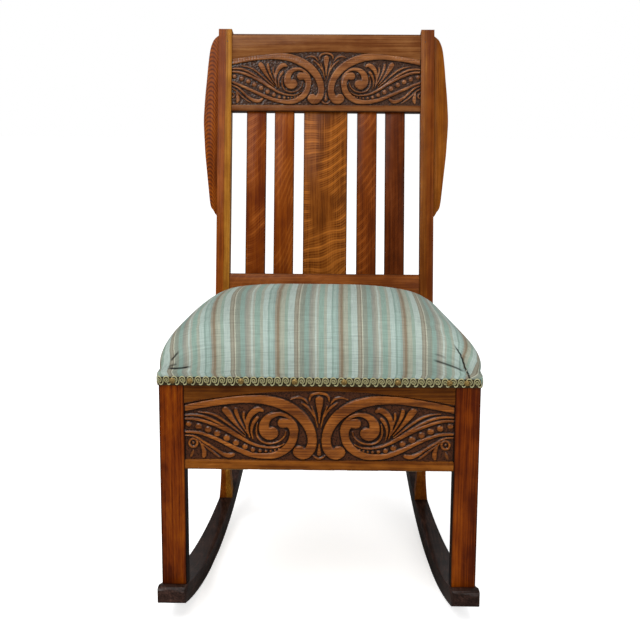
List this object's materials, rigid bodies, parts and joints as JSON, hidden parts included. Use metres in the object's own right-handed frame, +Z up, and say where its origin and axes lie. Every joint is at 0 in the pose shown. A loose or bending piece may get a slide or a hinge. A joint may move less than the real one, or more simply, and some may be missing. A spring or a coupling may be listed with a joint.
{
  "type": "rocking chair",
  "caption": "Armless carved oak rocking chair on bow runners, with a raked slat back and a sprung seat in striped fabric, edged with braid and domed nails.",
  "frame": {"origin": "on the floor, under the middle of the chair's width and of its length over the runners", "axes": "the chair faces -Y, +Z is up, +X is on the right of someone who looks at its front"},
  "size_m": [0.5224, 0.74, 0.9677],
  "materials": {
    "dark_stained_oak": "glossy dark stain and shellac",
    "quartered_oak": "golden quarter-sawn oak, polished",
    "plain_oak": "raw",
    "blued_steel": "blued",
    "spring_wire": "dull drawn wire",
    "jute_webbing": "woven jute",
    "hessian": "open weave",
    "horsehair_and_wadding": "felted",
    "striped_cover": "woven satin stripes",
    "green_braid": "looped braid",
    "antique_brass": "antiqued"
  },
  "bodies": {
    "chair": {"runner_left": "dark_stained_oak", "runner_right": "dark_stained_oak", "front_leg_left": "quartered_oak", "front_leg_right": "quartered_oak", "back_post_left": "quartered_oak", "back_post_right": "quartered_oak", "post_wing_left": "quartered_oak", "post_wing_right": "quartered_oak", "front_apron": "quartered_oak", "side_rail_left": "quartered_oak", "side_rail_right": "quartered_oak", "back_seat_rail": "quartered_oak", "crest_rail": "quartered_oak", "lower_back_rail": "quartered_oak", "slat_outer_left": "quartered_oak", "slat_inner_left": "quartered_oak", "centre_splat": "quartered_oak", "slat_inner_right": "quartered_oak", "slat_outer_right": "quartered_oak", "corner_block_front_left": "plain_oak", "corner_block_front_right": "plain_oak", "corner_block_back_left": "plain_oak", "corner_block_back_right": "plain_oak", "block_screws": "blued_steel", "crest_brads": "blued_steel", "webbing_tacks": "blued_steel", "seat_springs": "spring_wire", "webbing_lengthwise": "jute_webbing", "webbing_crosswise": "jute_webbing", "spring_deck": "hessian", "edge_roll": "hessian", "seat_cover": "striped_cover", "gimp_braid": "green_braid", "gimp_nails": "antique_brass"},
    "seat_pad": {"seat_stuffing": "horsehair_and_wadding"}
  },
  "joints": [
    {"name": "seat_sink", "type": "slide", "parent": "chair", "child": "seat_pad", "axis": [0, 0, -1], "range_m": [0, 0.022], "stiffness_N_per_m": 27000, "springref_m": -0.003, "deforming": ["seat_springs", "spring_deck", "seat_cover"]}
  ]
}
